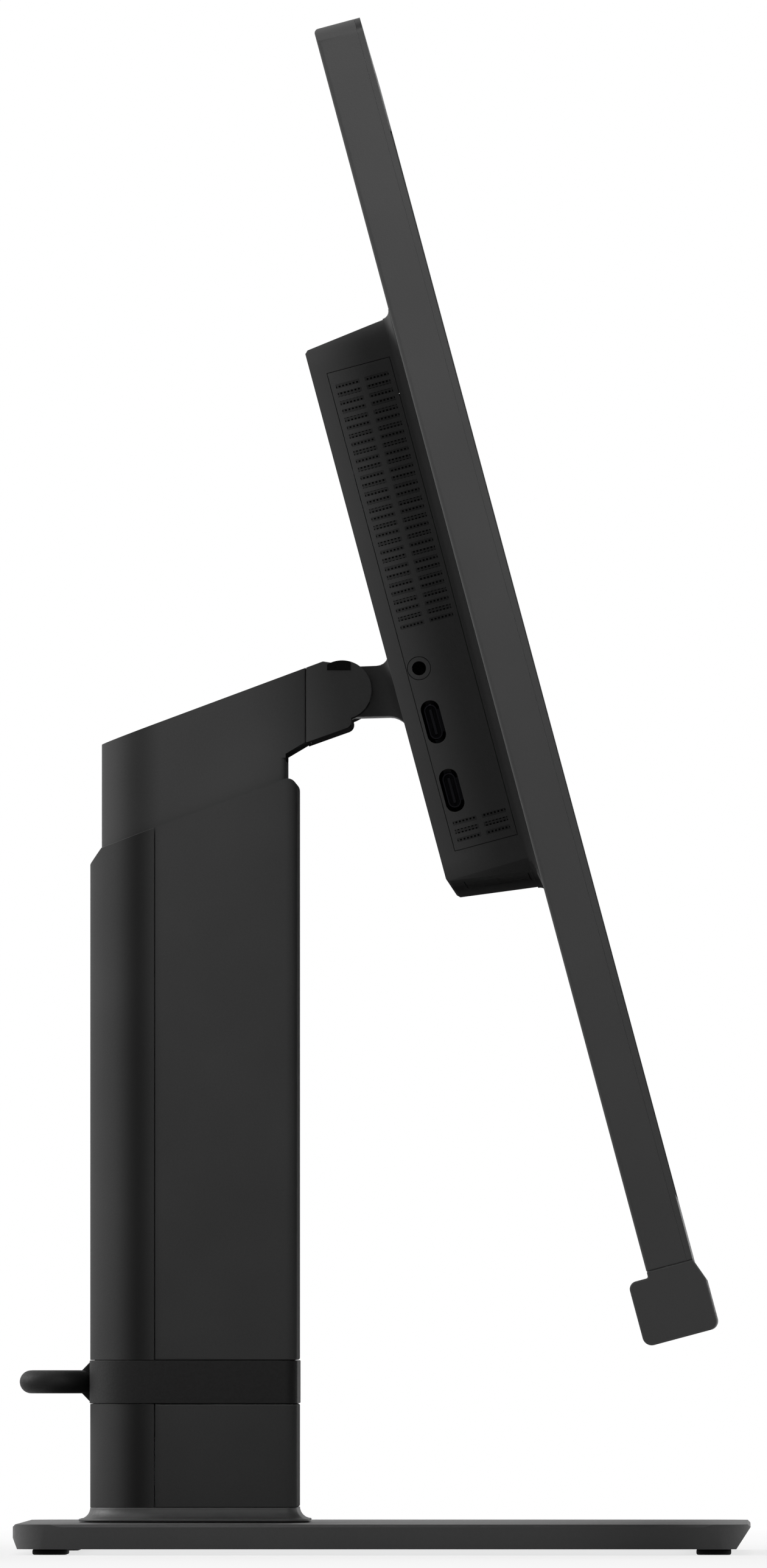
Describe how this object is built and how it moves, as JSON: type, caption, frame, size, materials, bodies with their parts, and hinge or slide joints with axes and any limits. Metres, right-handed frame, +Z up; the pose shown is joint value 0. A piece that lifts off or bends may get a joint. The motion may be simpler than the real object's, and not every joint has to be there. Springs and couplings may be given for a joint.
{
  "type": "all in one desktop computer",
  "caption": "Widescreen all in one desktop computer: tilted display with a vented computer box on its back and a speaker bar below, on a lift, tilt and swivel stand with a flat base.",
  "frame": {"origin": "centre of the base, on the table under its feet", "axes": "+Z up, the screen faces -Y, +X to the right of the person using it"},
  "size_m": [0.54, 0.1901, 0.3903],
  "materials": {
    "stand_paint": "satin",
    "stand_plastic": "satin",
    "panel_plastic": "satin",
    "box_plastic": "matte",
    "black_plastic": "matte",
    "rubber": "matte",
    "steel": "brushed",
    "aluminium": "satin",
    "screen_glass": "gloss",
    "board": "satin",
    "copper": "satin"
  },
  "bodies": {
    "base": {"base_plate": "stand_paint", "base_weight": "steel", "base_feet": "rubber", "swivel_washer": "black_plastic"},
    "column": {"column_foot": "stand_paint", "swivel_pin": "steel", "swivel_nut": "steel", "column_front_cover": "stand_plastic", "column_rear_cover": "stand_plastic", "mast_rail": "steel", "cable_clip": "rubber", "lift_spring_strip": "steel"},
    "carriage": {"lift_carriage": "stand_plastic", "carriage_slide": "black_plastic", "lift_spring_coil": "steel", "spring_axle": "steel", "tilt_arm": "stand_paint", "tilt_shaft": "steel", "tilt_washers": "steel", "tilt_nuts": "steel", "hinge_caps": "black_plastic"},
    "head": {"stand_head": "stand_paint", "vesa_bracket": "steel", "mid_frame": "panel_plastic", "rear_cover": "box_plastic", "left_side_grille": "box_plastic", "right_side_grille": "box_plastic", "top_grille": "box_plastic", "io_shield": "box_plastic", "front_bezel": "black_plastic", "lcd_cell": "screen_glass", "backlight_unit": "black_plastic", "lcd_brackets": "steel", "speaker_bar": "panel_plastic", "speaker_grilles": "black_plastic", "speakers": "black_plastic", "motherboard": "board", "processor": "aluminium", "heatsink": "copper", "fan_housing": "black_plastic", "memory_modules": "board", "ssd_module": "black_plastic", "wifi_card": "board", "coin_cell": "steel", "side_io_board": "board", "audio_jack": "black_plastic", "usb_c_ports": "steel", "ethernet_jack": "steel", "video_port": "steel", "usb_a_ports": "steel", "power_inlet": "black_plastic", "camera_module": "board", "power_switch": "board", "rear_cover_screws": "steel"},
    "fan": {"fan_rotor": "black_plastic"},
    "power_key": {"power_button": "black_plastic"},
    "release_key": {"release_button": "black_plastic"},
    "shutter": {"camera_shutter": "black_plastic"}
  },
  "joints": [
    {"name": "swivel", "type": "hinge", "parent": "base", "child": "column", "pos_m": [0, 0.04965, 0.0082], "axis": [0, 0, 1], "range_deg": [-45, 45]},
    {"name": "lift", "type": "slide", "parent": "column", "child": "carriage", "axis": [0, 0, 1], "range_m": [0, 0.11], "deforming": ["lift_spring_strip"]},
    {"name": "tilt", "type": "hinge", "parent": "carriage", "child": "head", "pos_m": [0, 0.011, 0.224], "axis": [1, 0, 0], "range_deg": [-7, 20]},
    {"name": "fan_spin", "type": "hinge", "parent": "head", "child": "fan", "pos_m": [0.1, -0.01056, 0.24013], "axis": [0, 0.9659, -0.2588], "continuous": true},
    {"name": "power_press", "type": "slide", "parent": "head", "child": "power_key", "axis": [0, 0.2588, 0.9659], "range_m": [0, 0.0008], "stiffness_N_per_m": 900},
    {"name": "release_press", "type": "slide", "parent": "head", "child": "release_key", "axis": [0, -0.9659, 0.2588], "range_m": [0, 0.001], "stiffness_N_per_m": 1500},
    {"name": "shutter_slide", "type": "slide", "parent": "head", "child": "shutter", "axis": [1, 0, 0], "range_m": [0, 0.006]}
  ]
}
